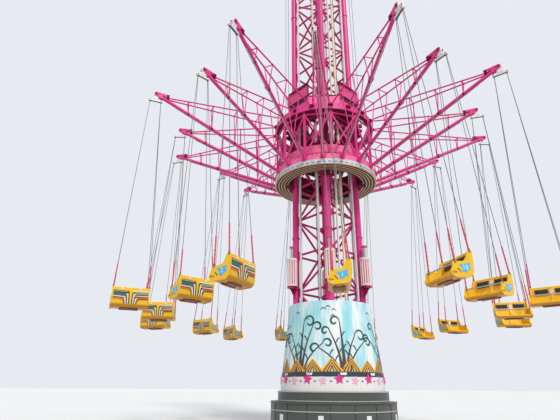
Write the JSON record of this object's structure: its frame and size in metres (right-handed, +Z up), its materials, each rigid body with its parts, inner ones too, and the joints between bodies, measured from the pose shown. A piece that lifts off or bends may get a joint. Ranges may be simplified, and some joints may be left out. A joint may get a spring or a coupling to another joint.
{
  "type": "chair swing ride",
  "caption": "Chair swing ride: lattice tower, climbing carriage, turning lattice arms and hanging double chairs.",
  "frame": {"origin": "on the ground, on the axis of the tower, at the underside of the plinth", "axes": "+Z up along the tower; X and Y parallel to the faces of the lattice tower"},
  "size_m": [16.4872, 16.5425, 38.55],
  "materials": {
    "plinth_paint": "satin",
    "white_paint": "gloss",
    "cone_paint": "satin",
    "pink_steel": "gloss",
    "deep_pink_steel": "gloss",
    "rail_white": "satin",
    "duct_beige": "satin",
    "buffer_stripes": "gloss",
    "rod_steel": "satin",
    "roller_steel": "satin",
    "rope_steel": "satin",
    "panel_pink": "gloss",
    "soffit_stripes": "satin",
    "rim_white": "gloss",
    "hood_paint": "gloss",
    "chair_yellow": "gloss"
  },
  "bodies": {
    "tower": {"foundation_plinth": "plinth_paint", "star_skirt": "white_paint", "base_cone": "cone_paint", "tower_legs": "pink_steel", "guide_rails": "rail_white", "cable_trunking": "duct_beige", "landing_buffers": "buffer_stripes", "buffer_rods": "rod_steel", "buffer_brackets": "deep_pink_steel", "crown_frame": "pink_steel", "crown_sheaves": "roller_steel", "crown_hood": "hood_paint", "hoist_ropes_inner": "rope_steel", "hoist_ropes_outer": "rope_steel", "bracing_east": "deep_pink_steel", "bracing_north": "deep_pink_steel", "bracing_south": "deep_pink_steel", "bracing_west": "deep_pink_steel"},
    "carriage": {"carriage_frame": "deep_pink_steel", "guide_rollers": "roller_steel", "bearing_ring": "pink_steel", "carriage_deck": "deep_pink_steel", "carriage_panels": "panel_pink", "rope_anchors": "panel_pink"},
    "turntable": {"slewing_ring": "pink_steel", "lower_ring": "pink_steel", "upper_ring": "deep_pink_steel", "cage_posts": "pink_steel", "cage_braces": "pink_steel", "arms_west": "pink_steel", "arms_east": "pink_steel", "arm_heads": "pink_steel", "striped_soffit": "soffit_stripes", "soffit_rim": "rim_white"},
    "chair_01": {"chair_01": "chair_yellow"},
    "chair_02": {"chair_02": "chair_yellow"},
    "chair_03": {"chair_03": "chair_yellow"},
    "chair_04": {"chair_04": "chair_yellow"},
    "chair_05": {"chair_05": "chair_yellow"},
    "chair_06": {"chair_06": "chair_yellow"},
    "chair_07": {"chair_07": "chair_yellow"},
    "chair_08": {"chair_08": "chair_yellow"},
    "chair_09": {"chair_09": "chair_yellow"},
    "chair_10": {"chair_10": "chair_yellow"},
    "chair_11": {"chair_11": "chair_yellow"},
    "chair_12": {"chair_12": "chair_yellow"},
    "chair_13": {"chair_13": "chair_yellow"},
    "chair_14": {"chair_14": "chair_yellow"},
    "chair_15": {"chair_15": "chair_yellow"},
    "chair_16": {"chair_16": "chair_yellow"},
    "chair_17": {"chair_17": "chair_yellow"},
    "chair_18": {"chair_18": "chair_yellow"}
  },
  "joints": [
    {"name": "lift", "type": "slide", "parent": "tower", "child": "carriage", "axis": [0, 0, 1], "range_m": [-2.74, 20.5], "deforming": ["hoist_ropes_inner", "hoist_ropes_outer"]},
    {"name": "spin", "type": "hinge", "parent": "carriage", "child": "turntable", "pos_m": [0, 0, 10.75], "axis": [0, 0, 1], "continuous": true},
    {"name": "swing_01", "type": "hinge", "parent": "turntable", "child": "chair_01", "pos_m": [-5.07475, -4.40209, 12.65], "axis": [-0.6553, 0.7554, 0], "range_deg": [-8, 40]},
    {"name": "swing_02", "type": "hinge", "parent": "turntable", "child": "chair_02", "pos_m": [-7.24376, -2.77192, 12.71], "axis": [-0.3574, 0.934, 0], "range_deg": [-8, 40]},
    {"name": "swing_03", "type": "hinge", "parent": "turntable", "child": "chair_03", "pos_m": [-6.7171, -0.11021, 12.65], "axis": [-0.0164, 0.9999, 0], "range_deg": [-8, 40]},
    {"name": "swing_04", "type": "hinge", "parent": "turntable", "child": "chair_04", "pos_m": [-7.33079, 2.53279, 12.71], "axis": [0.3266, 0.9452, 0], "range_deg": [-8, 40]},
    {"name": "swing_05", "type": "hinge", "parent": "turntable", "child": "chair_05", "pos_m": [-5.21644, 4.23324, 12.65], "axis": [0.6301, 0.7765, 0], "range_deg": [-8, 40]},
    {"name": "swing_06", "type": "hinge", "parent": "turntable", "child": "chair_06", "pos_m": [-3.98767, 6.65237, 12.71], "axis": [0.8577, 0.5141, 0], "range_deg": [-8, 40]},
    {"name": "swing_07", "type": "hinge", "parent": "turntable", "child": "chair_07", "pos_m": [-1.27495, 6.59591, 12.65], "axis": [0.9818, 0.1898, 0], "range_deg": [-8, 40]},
    {"name": "swing_08", "type": "hinge", "parent": "turntable", "child": "chair_08", "pos_m": [1.22133, 7.65924, 12.71], "axis": [0.9875, -0.1575, 0], "range_deg": [-8, 40]},
    {"name": "swing_09", "type": "hinge", "parent": "turntable", "child": "chair_09", "pos_m": [3.2631, 5.87228, 12.65], "axis": [0.8741, -0.4857, 0], "range_deg": [-8, 40]},
    {"name": "swing_10", "type": "hinge", "parent": "turntable", "child": "chair_10", "pos_m": [5.85885, 5.08226, 12.71], "axis": [0.6553, -0.7554, 0], "range_deg": [-8, 40]},
    {"name": "swing_11", "type": "hinge", "parent": "turntable", "child": "chair_11", "pos_m": [6.27431, 2.40095, 12.65], "axis": [0.3574, -0.934, 0], "range_deg": [-8, 40]},
    {"name": "swing_12", "type": "hinge", "parent": "turntable", "child": "chair_12", "pos_m": [7.75496, 0.12724, 12.71], "axis": [0.0164, -0.9999, 0], "range_deg": [-8, 40]},
    {"name": "swing_13", "type": "hinge", "parent": "turntable", "child": "chair_13", "pos_m": [6.3497, -2.19382, 12.65], "axis": [-0.3266, -0.9452, 0], "range_deg": [-8, 40]},
    {"name": "swing_14", "type": "hinge", "parent": "turntable", "child": "chair_14", "pos_m": [6.02243, -4.88732, 12.71], "axis": [-0.6301, -0.7765, 0], "range_deg": [-8, 40]},
    {"name": "swing_15", "type": "hinge", "parent": "turntable", "child": "chair_15", "pos_m": [3.45399, -5.76207, 12.65], "axis": [-0.8577, -0.5141, 0], "range_deg": [-8, 40]},
    {"name": "swing_16", "type": "hinge", "parent": "turntable", "child": "chair_16", "pos_m": [1.47194, -7.61505, 12.71], "axis": [-0.9818, -0.1898, 0], "range_deg": [-8, 40]},
    {"name": "swing_17", "type": "hinge", "parent": "turntable", "child": "chair_17", "pos_m": [-1.05787, -6.63419, 12.65], "axis": [-0.9875, 0.1575, 0], "range_deg": [-8, 40]},
    {"name": "swing_18", "type": "hinge", "parent": "turntable", "child": "chair_18", "pos_m": [-3.76729, -6.77961, 12.71], "axis": [-0.8741, 0.4857, 0], "range_deg": [-8, 40]}
  ]
}
